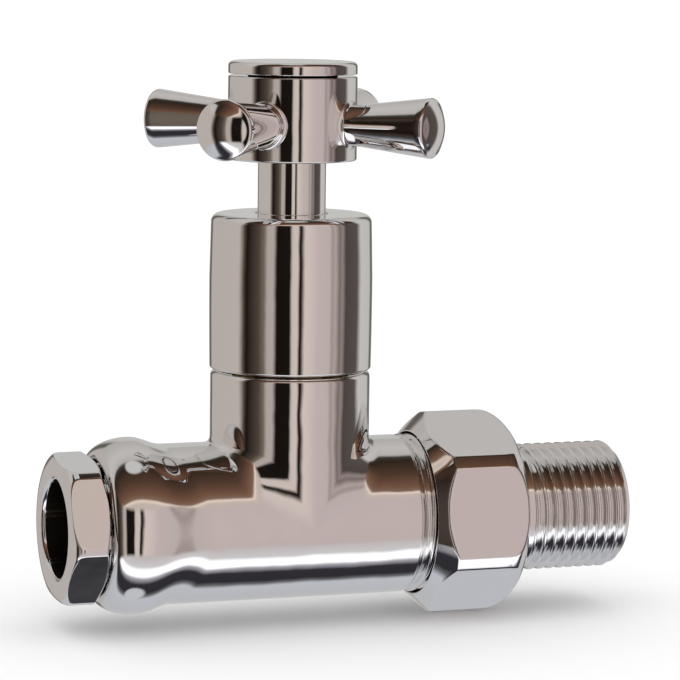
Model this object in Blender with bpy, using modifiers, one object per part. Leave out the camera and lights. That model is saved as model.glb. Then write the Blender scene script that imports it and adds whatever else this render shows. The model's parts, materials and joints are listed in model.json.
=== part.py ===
"""Straight radiator valve with a crosshead handle, 15 mm compression by 1/2 inch tail.

Frame: the origin is the centre of the tail's open end, on the run's axis.
+X points out of the tail, towards the radiator. +Z points up the spindle.
Outlines are in millimetres. Stations along the run are counted from the
spindle's axis, and heights from the run's axis.
"""

import math

import bmesh
import bpy
from mathutils import Matrix, Vector

MM = 0.001

# ---- driving dimensions, in millimetres --------------------------------
GAP = 0.3                 # between pieces that touch or thread together
EDGE = 0.3                # plain chamfer on a turned edge
SPINDLE_TO_TAIL_END = 56.5
TUBE_R = 12.9             # the run of the body
COLLAR_R = 14.2           # swelling at the compression end
COLLAR_PEAK = -26.8
COLLAR_END = -32.8
COLLAR_LIP_R = 11.25
TUBE_END = 18.6           # where the union thread starts
SPIGOT_END = 29.0

PIPE_R = 7.65             # bore for a 15 mm pipe
PIPE_STOP = -12.0
HALF_INCH_R = 10.478      # 1/2 inch pipe thread, crest radius
HALF_INCH_DEPTH = 1.162
HALF_INCH_PITCH = 1.814
UNION_R = 12.95           # M26 x 1.5 union thread, crest radius
UNION_DEPTH = 0.92
UNION_PITCH = 1.5
SPINDLE_THREAD_R = 5.0    # M10 x 1.5 lifting thread
SPINDLE_THREAD_DEPTH = 0.92
SPINDLE_PITCH = 1.5
CORE_STEP = 0.2           # how far a threaded rod's inner core lies under its roots
UNION_CORE_R = UNION_R - UNION_DEPTH - CORE_STEP
HALF_INCH_CORE_R = HALF_INCH_R - HALF_INCH_DEPTH - CORE_STEP
SPINDLE_CORE_R = SPINDLE_THREAD_R - SPINDLE_THREAD_DEPTH - CORE_STEP

BRANCH_R = 12.93
BRANCH_TOP = 24.2
SEAT_Z = 4.0
SEAT_R = 4.5
CHAMBER_R = 8.5
LIFT = 4.3125             # valve lift, 2.875 turns of the spindle

BONNET_TOP = 39.5
BONNET_FLATS = 19.9
POCKET_R = 7.0            # the packing's pocket in the bonnet
POCKET_FLOOR = 34.0
STEM_R = 4.6              # the plain part of the spindle
STEM_BORE_R = 4.9
O_RING_Z = 29.0
SPLINE_R = 3.0            # the spindle's end inside the handle
SPLINE_TOP = 62.4

SHROUD_R = 13.15
SHROUD_BORE_R = 11.9
SHROUD_BOTTOM = 24.8
SHROUD_TOP = 49.6
SHROUD_ROOF = 1.8         # thickness of its top

NECK_R = 5.48
NECK_BOTTOM = 46.5
HUB_R = 10.38
HUB_BOTTOM = 58.2
HUB_TOP = 71.7
HUB_RECESS_R = 7.5        # for the screw's head, under the cap
HUB_RECESS_FLOOR = 66.4
SCREW_HOLE_R = 2.5
CAP_TOP = 74.0
SPOKE_Z = 64.05
SPOKE_ROOT_R = 2.75
SPOKE_TIP_R = 4.8
SPOKE_RIM = 24.1          # radius, from the spindle, of the cone's widest point
SPOKE_END = 26.0

COMPRESSION_FACE = -39.4
COMPRESSION_FLATS = 22.0
COMPRESSION_CORNER_R = 12.35
COMPRESSION_TURN = 21.0   # degrees that its front flat leans back
COMPRESSION_TIP = -24.6   # inner end of the nut's thread
UNION_FACE = 20.9
UNION_END = 37.3
UNION_FLATS = 29.6
UNION_CORNER_R = 16.45
UNION_TURN = 7.3
TAIL_SHOULDER = 39.4      # where the tail's thread starts
TAIL_SHOULDER_R = 10.55
TAIL_KEY_FLATS = 12.0
TAIL_BORE_R = 6.6
FLANGE_FACE = 31.2        # the tail's flange, inside the union nut
FLANGE_BACK = 33.8

FINE = 36                 # segments round the large pieces
MEDIUM = 24
COARSE = 16

# ---- scene and materials ------------------------------------------------
for old in list(bpy.data.objects):
    bpy.data.objects.remove(old, do_unlink=True)

PARTS = bpy.data.collections.new("radiator_valve")
CUTTERS = bpy.data.collections.new("cutters")
bpy.context.scene.collection.children.link(PARTS)
bpy.context.scene.collection.children.link(CUTTERS)

FINISHES = {
    "chrome": ((0.80, 0.78, 0.77), 1.0, 0.06),
    "brass": ((0.72, 0.53, 0.25), 1.0, 0.30),
    "steel": ((0.55, 0.55, 0.56), 1.0, 0.30),
    "rubber": ((0.03, 0.03, 0.03), 0.0, 0.70),
    "fibre": ((0.35, 0.10, 0.06), 0.0, 0.80),
    "ptfe": ((0.85, 0.85, 0.82), 0.0, 0.50),
    "nylon": ((0.75, 0.74, 0.70), 0.0, 0.45),
}


def finish(name, kind):
    """A material of its own for one piece, in one of the named finishes."""
    colour, metallic, roughness = FINISHES[kind]
    material = bpy.data.materials.new(name)
    material.use_nodes = True
    shader = material.node_tree.nodes["Principled BSDF"]
    shader.inputs["Base Color"].default_value = (*colour, 1.0)
    shader.inputs["Metallic"].default_value = metallic
    shader.inputs["Roughness"].default_value = roughness
    return material


# ---- shape helpers ------------------------------------------------------
ALONG_RUN = Matrix.Translation((-SPINDLE_TO_TAIL_END * MM, 0, 0)) @ Matrix.Rotation(
    math.radians(90), 4, "Y"
)
UP_SPINDLE = Matrix.Translation((-SPINDLE_TO_TAIL_END * MM, 0, 0))


def place(obj, frame, kind=None):
    """Puts a piece among the parts, or a cutter among the cutters."""
    obj.matrix_world = frame
    if kind:
        PARTS.objects.link(obj)
        obj.data.materials.append(finish(obj.name, kind))
    else:
        CUTTERS.objects.link(obj)
        obj.hide_render = True
        obj.display_type = "WIRE"
    return obj


def evaluated_mesh(obj):
    """The object's mesh with its modifiers applied."""
    bpy.context.view_layer.update()
    graph = bpy.context.evaluated_depsgraph_get()
    return bpy.data.meshes.new_from_object(obj.evaluated_get(graph))


def facing_out(mesh):
    """Makes every face point out of the closed mesh."""
    shape = bmesh.new()
    shape.from_mesh(mesh)
    bmesh.ops.remove_doubles(shape, verts=shape.verts, dist=2e-6)
    bmesh.ops.recalc_face_normals(shape, faces=shape.faces)
    if shape.calc_volume(signed=True) < 0:
        bmesh.ops.reverse_faces(shape, faces=shape.faces)
    shape.to_mesh(mesh)
    shape.free()
    mesh.shade_smooth()
    mesh.set_sharp_from_angle(angle=math.radians(30))
    return mesh


def screwed(points, segments, closed, rise=0.0, turns=1):
    """The mesh that a profile of (radius, station) points sweeps about Z."""
    profile = bpy.data.meshes.new("profile")
    verts = [(r * MM, 0, s * MM) for r, s in points]
    edges = [(i, i + 1) for i in range(len(points) - 1)]
    if closed:
        edges.append((len(points) - 1, 0))
    profile.from_pydata(verts, edges, [])
    guide = bpy.data.objects.new("guide", profile)
    bpy.context.scene.collection.objects.link(guide)
    screw = guide.modifiers.new("Screw", "SCREW")
    screw.axis = "Z"
    screw.steps = segments
    screw.render_steps = segments
    screw.screw_offset = rise * MM
    screw.iterations = turns
    screw.use_merge_vertices = rise == 0
    screw.merge_threshold = 1e-6
    mesh = evaluated_mesh(guide)
    bpy.data.objects.remove(guide, do_unlink=True)
    return mesh


def turned(name, points, segments, frame, kind=None, closed=True):
    """A turned piece. A closed outline makes a ring, an open one a solid."""
    mesh = facing_out(screwed(points, segments, closed))
    mesh.name = name
    return place(bpy.data.objects.new(name, mesh), frame, kind)


def drilled(name, r, low, high, frame, segments=MEDIUM):
    """A plain round cutter between two stations."""
    outline = [(0, high), (r, high), (r, low), (0, low)]
    return turned(name, outline, segments, frame, closed=False)


def threaded(name, r, depth, pitch, low, high, frame, kind=None, segments=MEDIUM):
    """A solid rod with a right-hand thread cut along all of it."""
    turns = math.ceil((high - low) / pitch) + 3
    start = low - 1.4 * pitch
    zigzag = [(r - depth, start + pitch), (r, start + pitch / 2), (r - depth, start)]
    mesh = screwed(zigzag, segments, False, rise=pitch, turns=turns)
    shape = bmesh.new()
    shape.from_mesh(mesh)
    bmesh.ops.remove_doubles(shape, verts=shape.verts, dist=2e-6)
    for station, keep_above in ((low, True), (high, False)):
        everything = shape.verts[:] + shape.edges[:] + shape.faces[:]
        bmesh.ops.bisect_plane(
            shape,
            geom=everything,
            plane_co=(0, 0, station * MM),
            plane_no=(0, 0, 1),
            clear_inner=keep_above,
            clear_outer=not keep_above,
        )
    bmesh.ops.remove_doubles(shape, verts=shape.verts, dist=2e-6)
    middle = (low + high) / 2 * MM
    for is_top in (False, True):
        rim = [
            edge
            for edge in shape.edges
            if edge.is_boundary and (edge.verts[0].co.z > middle) == is_top
        ]
        bmesh.ops.contextual_create(shape, geom=rim)
    bmesh.ops.triangulate(shape, faces=[f for f in shape.faces if len(f.verts) > 4])
    shape.to_mesh(mesh)
    shape.free()
    mesh.name = name
    return place(bpy.data.objects.new(name, facing_out(mesh)), frame, kind)


def prism(name, flats, low, high, frame, sides=6, turn=0.0):
    """A hexagonal cutter, given across its flats. Along the run its front flat
    faces -Y, and turn is the number of degrees that this flat leans back."""
    mesh = bpy.data.meshes.new(name)
    shape = bmesh.new()
    corner_r = flats / 2 / math.cos(math.pi / sides) * MM
    half_side = 180 / sides
    bmesh.ops.create_cone(
        shape,
        cap_ends=True,
        segments=sides,
        radius1=corner_r,
        radius2=corner_r,
        depth=(high - low) * MM,
        matrix=Matrix.Translation((0, 0, (high + low) / 2 * MM))
        @ Matrix.Rotation(math.radians(half_side - turn), 4, "Z"),
    )
    shape.to_mesh(mesh)
    shape.free()
    return place(bpy.data.objects.new(name, mesh), frame)


def boolean(obj, operation, others):
    """Joins, cuts or trims the object with each of the others in turn."""
    for other in others:
        step = obj.modifiers.new(f"{operation.title()} {other.name}", "BOOLEAN")
        step.operation = operation
        step.object = other
        step.solver = "EXACT"
    return obj


def arc(centre, size, start, stop, steps):
    """Points (radius, station) on an ellipse, from one angle to another."""
    spans = [start + (stop - start) * i / steps for i in range(steps + 1)]
    return [
        (
            centre[0] + size[0] * math.cos(math.radians(a)),
            centre[1] + size[1] * math.sin(math.radians(a)),
        )
        for a in spans
    ]


def ring_section(mean_r, station, section_r, steps=8):
    """The round section of an O-ring."""
    return arc((mean_r, station), (section_r, section_r), 0, -360, steps)[:-1]


def slanted(name, r, start, end, segments=COARSE):
    """A round cutter between two points of the XZ plane through the spindle."""
    a = Vector((start[0], 0, start[1])) * MM
    b = Vector((end[0], 0, end[1])) * MM
    lean = (b - a).to_track_quat("Z", "Y").to_matrix().to_4x4()
    frame = UP_SPINDLE @ Matrix.Translation(a) @ lean
    return drilled(name, r, 0, (b - a).length / MM, frame, segments)


# ---- body ---------------------------------------------------------------
def collar_radius(s):
    """The swelling: a quarter ellipse up to its peak, then an S down."""
    if s < COLLAR_PEAK:
        reach = (s - COLLAR_PEAK) / (COLLAR_END - COLLAR_PEAK)
        rise = COLLAR_R - COLLAR_LIP_R
        return COLLAR_LIP_R + rise * math.sqrt(max(0.0, 1 - reach * reach))
    fall = min(1.0, (s - COLLAR_PEAK) / 5.4)
    return TUBE_R + (COLLAR_R - TUBE_R) * 0.5 * (1 + math.cos(math.pi * fall))


def make_body():
    collar_stations = (-21.2, -22.6, -24.1, -25.4, COLLAR_PEAK)
    collar_stations += (-28.4, -30.0, -31.3, -32.3, COLLAR_END)
    outline = [(0, TUBE_END + 1), (UNION_CORE_R, TUBE_END + 1), (UNION_CORE_R, TUBE_END)]
    outline += [(TUBE_R - EDGE, TUBE_END), (TUBE_R, TUBE_END - EDGE)]
    outline += [(collar_radius(s), s) for s in collar_stations]
    outline += [(0, COLLAR_END)]
    body = turned("valve_body", outline, FINE, ALONG_RUN, "brass", closed=False)

    branch_outline = [(0, BRANCH_TOP)]
    branch_outline += arc((BRANCH_R - 1, BRANCH_TOP - 1), (1, 1), 90, 0, 3)
    branch_outline += [(BRANCH_R, 1), (0, 1)]
    branch = turned("branch", branch_outline, FINE, UP_SPINDLE, closed=False)
    thread_start = TUBE_END + CORE_STEP
    spigot = threaded(
        "spigot", UNION_R, UNION_DEPTH, UNION_PITCH, thread_start, SPIGOT_END, ALONG_RUN
    )
    boolean(body, "UNION", [branch, spigot])

    tapped_r = HALF_INCH_R + GAP
    socket = [(0, -18.0), (PIPE_R, -18.0), (PIPE_R + EDGE, -18.3), (10.0, -20.6)]
    socket += [(tapped_r, -21.4), (tapped_r, COLLAR_END - 1), (0, COLLAR_END - 1)]
    ledge_z, port_floor = 14, -5.5
    chamber = [(0, BRANCH_TOP + 1), (tapped_r, BRANCH_TOP + 1), (tapped_r, ledge_z)]
    chamber += [(CHAMBER_R, ledge_z), (CHAMBER_R, SEAT_Z - 1), (SEAT_R + 2, SEAT_Z - 1)]
    chamber += [(SEAT_R + 1.2, SEAT_Z), (SEAT_R, SEAT_Z)]
    chamber += [(SEAT_R, port_floor), (0, port_floor)]
    cutters = [
        turned("cut_nut_socket", socket, MEDIUM, ALONG_RUN, closed=False),
        drilled("cut_pipe_socket", PIPE_R, -19, PIPE_STOP, ALONG_RUN),
        drilled("cut_inlet", 6.2, PIPE_STOP - 1, -10.2, ALONG_RUN, COARSE),
        slanted("cut_inlet_dip", 4.0, (-12.5, -1.2), (1.5, -5.2)),
        turned("cut_chamber", chamber, MEDIUM, UP_SPINDLE, closed=False),
        slanted("cut_outlet_fall", 3.6, (6.6, 9.8), (17.0, 0.0)),
        drilled("cut_outlet", 8.0, 13.2, SPIGOT_END + 1, ALONG_RUN),
    ]
    boolean(body, "DIFFERENCE", cutters)


# ---- compression end ----------------------------------------------------
def make_compression_nut():
    face, head_end = COMPRESSION_FACE, COLLAR_END - GAP
    corner_r = COMPRESSION_CORNER_R
    head = [(0, head_end), (10.9, head_end), (corner_r, head_end - 0.9)]
    head += [(corner_r, face + 1.6)]
    head += arc((10.2, face + 1.6), (corner_r - 10.2, 1.6), 0, -90, 4)[1:]
    head += [(0, face)]
    nut = turned("compression_nut", head, FINE, ALONG_RUN, "brass", closed=False)
    hexagon = prism(
        "hex_compression",
        COMPRESSION_FLATS,
        face - 1,
        head_end + 1,
        ALONG_RUN,
        turn=COMPRESSION_TURN,
    )
    boolean(nut, "INTERSECT", [hexagon])
    thread = threaded(
        "compression_thread",
        HALF_INCH_R,
        HALF_INCH_DEPTH,
        HALF_INCH_PITCH,
        head_end - 1,
        COMPRESSION_TIP,
        ALONG_RUN,
    )
    boolean(nut, "UNION", [thread])
    mouth = COMPRESSION_TIP + 1
    bore = [(0, mouth), (9.0, mouth), (PIPE_R, mouth - 2), (PIPE_R, face + 0.4)]
    bore += [(PIPE_R + 0.8, face - 0.4), (0, face - 0.4)]
    boolean(nut, "DIFFERENCE", [turned("cut_nut_bore", bore, MEDIUM, ALONG_RUN, closed=False)])


def make_olive():
    bore_r, crown_r = PIPE_R + 0.1, 9.5
    outline = [(bore_r, -24.2), (8.6, -24.2), (crown_r, -22.4), (crown_r, -21.6)]
    outline += [(8.4, -19.6), (bore_r, -19.6)]
    turned("olive", outline, MEDIUM, ALONG_RUN, "brass")


# ---- radiator end -------------------------------------------------------
def make_union_nut():
    bore_r = UNION_R + GAP
    collar_r = TAIL_SHOULDER_R + GAP
    end_r, dome_s, chamfer_s = 11.3, 33.2, 24.6
    lip = FLANGE_BACK + GAP
    dome = (UNION_CORNER_R - end_r, UNION_END - dome_s)
    envelope = [(collar_r, UNION_END), (end_r, UNION_END)]
    envelope += arc((end_r, dome_s), dome, 72, 0, 5)
    envelope += [(UNION_CORNER_R, chamfer_s), (bore_r + 0.2, UNION_FACE)]
    envelope += [(bore_r, UNION_FACE), (bore_r, lip), (collar_r, lip)]
    nut = turned("union_nut", envelope, FINE, ALONG_RUN, "brass")
    hexagon = prism(
        "hex_union", UNION_FLATS, UNION_FACE - 1, UNION_END + 1, ALONG_RUN, turn=UNION_TURN
    )
    boolean(nut, "INTERSECT", [hexagon])


def make_tail():
    flange_r = UNION_R - 0.4
    end = SPINDLE_TO_TAIL_END
    outline = [(0, TAIL_SHOULDER + 1.5), (HALF_INCH_CORE_R, TAIL_SHOULDER + 1.5)]
    outline += [(HALF_INCH_CORE_R, TAIL_SHOULDER), (TAIL_SHOULDER_R - 0.25, TAIL_SHOULDER)]
    outline += [(TAIL_SHOULDER_R, TAIL_SHOULDER - 0.25), (TAIL_SHOULDER_R, FLANGE_BACK)]
    outline += [(flange_r, FLANGE_BACK), (flange_r, FLANGE_FACE), (0, FLANGE_FACE)]
    tail = turned("tailpiece", outline, MEDIUM, ALONG_RUN, "brass", closed=False)
    thread = threaded(
        "tail_thread",
        HALF_INCH_R,
        HALF_INCH_DEPTH,
        HALF_INCH_PITCH,
        TAIL_SHOULDER + CORE_STEP,
        end,
        ALONG_RUN,
    )
    boolean(tail, "UNION", [thread])
    outside_r, beyond = 14, FLANGE_FACE - 1
    chamfer = [(0, end + 1), (9.0, end + 1), (9.3, end - 0.01), (11.6, end - 2.3)]
    chamfer += [(outside_r, end - 2.3), (outside_r, beyond), (0, beyond)]
    trim = turned("trim_tail", chamfer, MEDIUM, ALONG_RUN, closed=False)
    boolean(tail, "INTERSECT", [trim])
    key_floor = 44.0
    key = prism("cut_key", TAIL_KEY_FLATS, key_floor, end + 1, ALONG_RUN)
    bore = drilled("cut_tail_bore", TAIL_BORE_R, beyond, key_floor + 0.5, ALONG_RUN, COARSE)
    boolean(tail, "DIFFERENCE", [bore, key])


def make_tail_seal():
    top, bottom = FLANGE_FACE - GAP, SPIGOT_END + GAP
    outline = [(8.4, top), (12.2, top), (12.2, bottom), (8.4, bottom)]
    turned("tail_seal", outline, MEDIUM, ALONG_RUN, "fibre")


# ---- headwork -----------------------------------------------------------
def make_bonnet():
    bore_r = SPINDLE_THREAD_R + GAP
    neck_r, foot, hexagon_foot = 8.2, 16.0, BRANCH_TOP + GAP
    outline = [(0, BONNET_TOP), (neck_r, BONNET_TOP), (neck_r, POCKET_FLOOR)]
    outline += [(10.7, POCKET_FLOOR), (10.7, 32.4), (9.65, 32.4), (9.65, 30.0)]
    outline += [(9.3, 30.0), (9.3, hexagon_foot), (HALF_INCH_CORE_R, hexagon_foot)]
    outline += [(HALF_INCH_CORE_R, foot), (0, foot)]
    bonnet = turned("bonnet", outline, MEDIUM, UP_SPINDLE, "brass", closed=False)
    thread = threaded(
        "bonnet_thread",
        HALF_INCH_R,
        HALF_INCH_DEPTH,
        HALF_INCH_PITCH,
        16.6,
        23.6,
        UP_SPINDLE,
        segments=COARSE,
    )
    hexagon = prism(
        "hex_bonnet", BONNET_FLATS, hexagon_foot + 0.2, hexagon_foot + 6.2, UP_SPINDLE
    )
    boolean(bonnet, "UNION", [thread, hexagon])
    bore = [(0, BONNET_TOP + 1), (POCKET_R, BONNET_TOP + 1), (POCKET_R, POCKET_FLOOR)]
    bore += [(bore_r, POCKET_FLOOR), (bore_r, foot - 1), (0, foot - 1)]
    boolean(bonnet, "DIFFERENCE", [turned("cut_bonnet", bore, MEDIUM, UP_SPINDLE, closed=False)])


def make_bonnet_washer():
    outline = [(8.9, 15.7), (10.4, 15.7), (10.4, 14.3), (8.9, 14.3)]
    turned("bonnet_washer", outline, COARSE, UP_SPINDLE, "fibre")


def make_gland():
    plug_r, floor, packing_top = POCKET_R - GAP, POCKET_FLOOR + GAP, 36.7
    packing = [(STEM_BORE_R, packing_top), (plug_r, packing_top)]
    packing += [(plug_r, floor), (STEM_BORE_R, floor)]
    turned("gland_packing", packing, COARSE, UP_SPINDLE, "ptfe")
    foot, shoulder, top = packing_top + GAP, BONNET_TOP + GAP, 41.7
    outline = [(STEM_BORE_R, top), (7.8, top), (8.6, top - 0.5), (8.6, shoulder)]
    outline += [(plug_r, shoulder), (plug_r, foot), (STEM_BORE_R, foot)]
    nut = turned("gland_nut", outline, MEDIUM, UP_SPINDLE, "brass")
    hexagon = prism("hex_gland", 15.4, 36.0, 42.5, UP_SPINDLE)
    boolean(nut, "INTERSECT", [hexagon])


def make_shroud():
    ease = 1.4
    hole_r, roof = NECK_R + 0.35, SHROUD_TOP - SHROUD_ROOF
    outline = [(hole_r, SHROUD_TOP)]
    outline += arc((SHROUD_R - ease, SHROUD_TOP - ease), (ease, ease), 90, 0, 4)
    outline += [(SHROUD_R, SHROUD_BOTTOM + 0.5), (SHROUD_R - 0.5, SHROUD_BOTTOM)]
    outline += [(SHROUD_BORE_R, SHROUD_BOTTOM), (SHROUD_BORE_R, roof), (hole_r, roof)]
    turned("shroud", outline, FINE, UP_SPINDLE, "brass")
    grip = ring_section(10.75, 31.5, 0.8)
    turned("shroud_grip_ring", grip, MEDIUM, UP_SPINDLE, "rubber")


# ---- spindle and closing member ----------------------------------------
def make_spindle():
    shoulder, groove_r, core_top, foot = NECK_BOTTOM - GAP, 3.2, 24.5, 14.6
    outline = [(0, SPLINE_TOP), (SPLINE_R - 0.4, SPLINE_TOP), (SPLINE_R, SPLINE_TOP - 0.4)]
    outline += [(SPLINE_R, shoulder), (STEM_R, shoulder), (STEM_R, O_RING_Z + 1.1)]
    outline += [(groove_r, O_RING_Z + 1.1), (groove_r, O_RING_Z - 1.1)]
    outline += [(STEM_R, O_RING_Z - 1.1), (STEM_R, core_top)]
    outline += [(SPINDLE_CORE_R, core_top), (SPINDLE_CORE_R, foot), (0, foot)]
    spindle = turned("spindle", outline, COARSE, UP_SPINDLE, "brass", closed=False)
    thread = threaded(
        "spindle_thread",
        SPINDLE_THREAD_R,
        SPINDLE_THREAD_DEPTH,
        SPINDLE_PITCH,
        15.0,
        24.2,
        UP_SPINDLE,
        segments=COARSE,
    )
    boolean(spindle, "UNION", [thread])
    above = SPLINE_TOP + 0.6
    socket = drilled("cut_spindle_foot", 2.6, foot - 0.6, 20.0, UP_SPINDLE, COARSE)
    tapped = drilled("cut_spindle_top", 1.8, 52.0, above, UP_SPINDLE, COARSE)
    splines = []
    for i in range(8):
        turn = Matrix.Rotation(math.radians(45 * i + 22.5), 4, "Z")
        out = UP_SPINDLE @ turn @ Matrix.Translation(((SPLINE_R + 0.25) * MM, 0, 0))
        splines.append(drilled(f"cut_spline_{i + 1}", 0.6, shoulder + 1, above, out, 8))
    boolean(spindle, "DIFFERENCE", [socket, tapped, *splines])
    turned("spindle_o_ring", ring_section(4.25, O_RING_Z, 0.75), COARSE, UP_SPINDLE, "rubber")


def make_jumper():
    washer_z = SEAT_Z + GAP + LIFT
    disc_z = washer_z + 1.9
    stem_r, rim_r, stud_r = 2.3, 7.6, 1.6
    hole_r = stud_r + GAP
    disc_top, skirt, stud_foot = disc_z + 2.4, disc_z - 0.9, washer_z - 3.2
    outline = [(0, 19.0), (stem_r, 19.0), (stem_r, disc_top), (rim_r, disc_top)]
    outline += [(rim_r, skirt), (rim_r - 0.7, skirt), (rim_r - 0.7, disc_z)]
    outline += [(stud_r, disc_z), (stud_r, stud_foot), (0, stud_foot)]
    turned("jumper", outline, COARSE, UP_SPINDLE, "brass", closed=False)
    washer_r, washer_top = rim_r - 1.0, washer_z + 1.6
    washer = [(hole_r, washer_top), (washer_r, washer_top)]
    washer += [(washer_r, washer_z), (hole_r, washer_z)]
    turned("seat_washer", washer, COARSE, UP_SPINDLE, "rubber")
    top, bottom = washer_z - GAP, washer_z - GAP - 2.4
    outline = [(hole_r, top), (3.9, top), (3.9, bottom + 0.4), (3.5, bottom), (hole_r, bottom)]
    nut = turned("washer_nut", outline, COARSE, UP_SPINDLE, "brass")
    hexagon = prism("hex_washer_nut", 7.0, bottom - 1, top + 1, UP_SPINDLE)
    boolean(nut, "INTERSECT", [hexagon])


# ---- handle -------------------------------------------------------------
def spoke_frame(i):
    """Spoke i points out along its local Z, from the spindle's axis."""
    turn = Matrix.Rotation(math.radians(45 + 90 * i), 4, "Z")
    lift = Matrix.Translation((0, 0, SPOKE_Z * MM))
    return UP_SPINDLE @ lift @ turn @ Matrix.Rotation(math.radians(90), 4, "Y")


def make_hub():
    sleeve_r, sleeve_top = SPLINE_R + 1.6, SPLINE_TOP + 0.4
    outline = [(HUB_RECESS_R, HUB_TOP), (HUB_R - EDGE, HUB_TOP), (HUB_R, HUB_TOP - EDGE)]
    outline += [(HUB_R, HUB_BOTTOM + 0.5), (HUB_R - 0.5, HUB_BOTTOM)]
    outline += [(NECK_R + 0.4, HUB_BOTTOM), (NECK_R, HUB_BOTTOM - 0.4)]
    outline += [(NECK_R, NECK_BOTTOM + EDGE), (NECK_R - EDGE, NECK_BOTTOM)]
    outline += [(sleeve_r, NECK_BOTTOM), (sleeve_r, sleeve_top), (SCREW_HOLE_R, sleeve_top)]
    outline += [(SCREW_HOLE_R, HUB_RECESS_FLOOR), (HUB_RECESS_R, HUB_RECESS_FLOOR)]
    hub = turned("handle_hub", outline, FINE, UP_SPINDLE, "brass")
    holes = []
    for i in range(4):
        holes.append(drilled(f"cut_stud_{i + 1}", 2.0, 5.6, 11.0, spoke_frame(i), COARSE))
    boolean(hub, "DIFFERENCE", holes)


def make_spokes():
    root = HUB_R + GAP
    dome = SPOKE_END - SPOKE_RIM
    outline = [(0, SPOKE_END)]
    outline += arc((0, SPOKE_RIM), (SPOKE_TIP_R, dome), 80, 0, 7)
    stud_r, stud_end = 1.7, 6.2
    outline += [(SPOKE_ROOT_R, root + 0.2), (SPOKE_ROOT_R - 0.2, root), (stud_r, root)]
    outline += [(stud_r, stud_end), (0, stud_end)]
    for i in range(4):
        turned(f"spoke_{i + 1}", outline, COARSE, spoke_frame(i), "brass", closed=False)


def make_handle_fixings():
    inner_r, outer_r, foot = SPLINE_R + GAP, SPLINE_R + 1.3, NECK_BOTTOM + 0.8
    bush = [(inner_r, SPLINE_TOP), (outer_r, SPLINE_TOP), (outer_r, foot), (inner_r, foot)]
    turned("spline_bush", bush, COARSE, UP_SPINDLE, "nylon")
    shank_r, head_r, head_foot, head_top = 1.5, 3.7, HUB_RECESS_FLOOR + GAP, 68.9
    outline = [(0, head_top), (head_r - 0.8, head_top), (head_r, head_top - 0.6)]
    outline += [(head_r, head_foot), (shank_r, head_foot), (shank_r, 54.5), (0, 54.5)]
    screw = turned("handle_screw", outline, COARSE, UP_SPINDLE, "steel", closed=False)
    socket = prism("cut_screw_key", 3.0, head_foot + 0.5, head_top + 1, UP_SPINDLE)
    boolean(screw, "DIFFERENCE", [socket])


def make_index_cap():
    base, ease, rim_foot = HUB_TOP + GAP, 0.7, 69.4
    rim_r = HUB_RECESS_R - GAP
    outline = [(0, CAP_TOP)]
    outline += arc((HUB_R - ease, CAP_TOP - ease), (ease, ease), 90, 0, 3)
    outline += [(HUB_R, base), (rim_r, base), (rim_r, rim_foot), (rim_r - 1, rim_foot)]
    outline += [(rim_r - 1, base), (0, base)]
    turned("index_cap", outline, FINE, UP_SPINDLE, "brass", closed=False)


make_body()
make_compression_nut()
make_olive()
make_union_nut()
make_tail()
make_tail_seal()
make_bonnet()
make_bonnet_washer()
make_gland()
make_shroud()
make_spindle()
make_jumper()
make_hub()
make_spokes()
make_handle_fixings()
make_index_cap()
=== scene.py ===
"""Looks of a straight radiator valve with a crosshead handle.

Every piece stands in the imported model's frame: +X out of the tail, +Z up the
spindle. Outlines are in millimetres. Stations along the run are counted from the
spindle's axis, and heights from the run's axis.
"""

import json
import math

import bmesh
import bpy
import numpy as np
from mathutils import Matrix, Vector


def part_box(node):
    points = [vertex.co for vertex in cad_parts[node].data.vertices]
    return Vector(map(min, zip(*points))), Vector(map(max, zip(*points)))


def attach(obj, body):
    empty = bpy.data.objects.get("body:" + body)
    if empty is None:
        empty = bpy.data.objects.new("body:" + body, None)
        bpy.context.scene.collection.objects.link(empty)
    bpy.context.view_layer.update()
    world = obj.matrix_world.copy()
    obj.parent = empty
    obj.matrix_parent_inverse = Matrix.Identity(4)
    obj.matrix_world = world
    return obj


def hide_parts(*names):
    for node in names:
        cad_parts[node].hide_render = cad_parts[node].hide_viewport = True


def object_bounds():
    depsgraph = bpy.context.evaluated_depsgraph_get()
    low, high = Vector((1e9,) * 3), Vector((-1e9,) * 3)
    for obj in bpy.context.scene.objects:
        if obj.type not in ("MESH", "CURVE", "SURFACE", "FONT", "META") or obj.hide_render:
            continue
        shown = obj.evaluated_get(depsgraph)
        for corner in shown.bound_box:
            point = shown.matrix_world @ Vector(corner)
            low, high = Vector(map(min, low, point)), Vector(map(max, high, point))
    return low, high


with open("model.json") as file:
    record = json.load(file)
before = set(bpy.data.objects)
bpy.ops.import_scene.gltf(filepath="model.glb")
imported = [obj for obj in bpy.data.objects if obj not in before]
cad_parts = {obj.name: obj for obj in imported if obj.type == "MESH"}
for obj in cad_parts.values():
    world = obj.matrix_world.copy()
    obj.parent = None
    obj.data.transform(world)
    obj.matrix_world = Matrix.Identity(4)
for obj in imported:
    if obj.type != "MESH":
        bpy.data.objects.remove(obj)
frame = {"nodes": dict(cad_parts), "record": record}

CAD_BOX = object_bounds()
MM = 0.001

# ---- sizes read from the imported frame, in millimetres --------------------
SPINDLE_X = sum(corner.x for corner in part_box("shroud")) / 2


def across(node, axis):
    """Lowest and highest place of a node along an axis of the frame."""
    low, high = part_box(node)
    shift = SPINDLE_X if axis == 0 else 0.0
    return (low[axis] - shift) / MM, (high[axis] - shift) / MM


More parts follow.
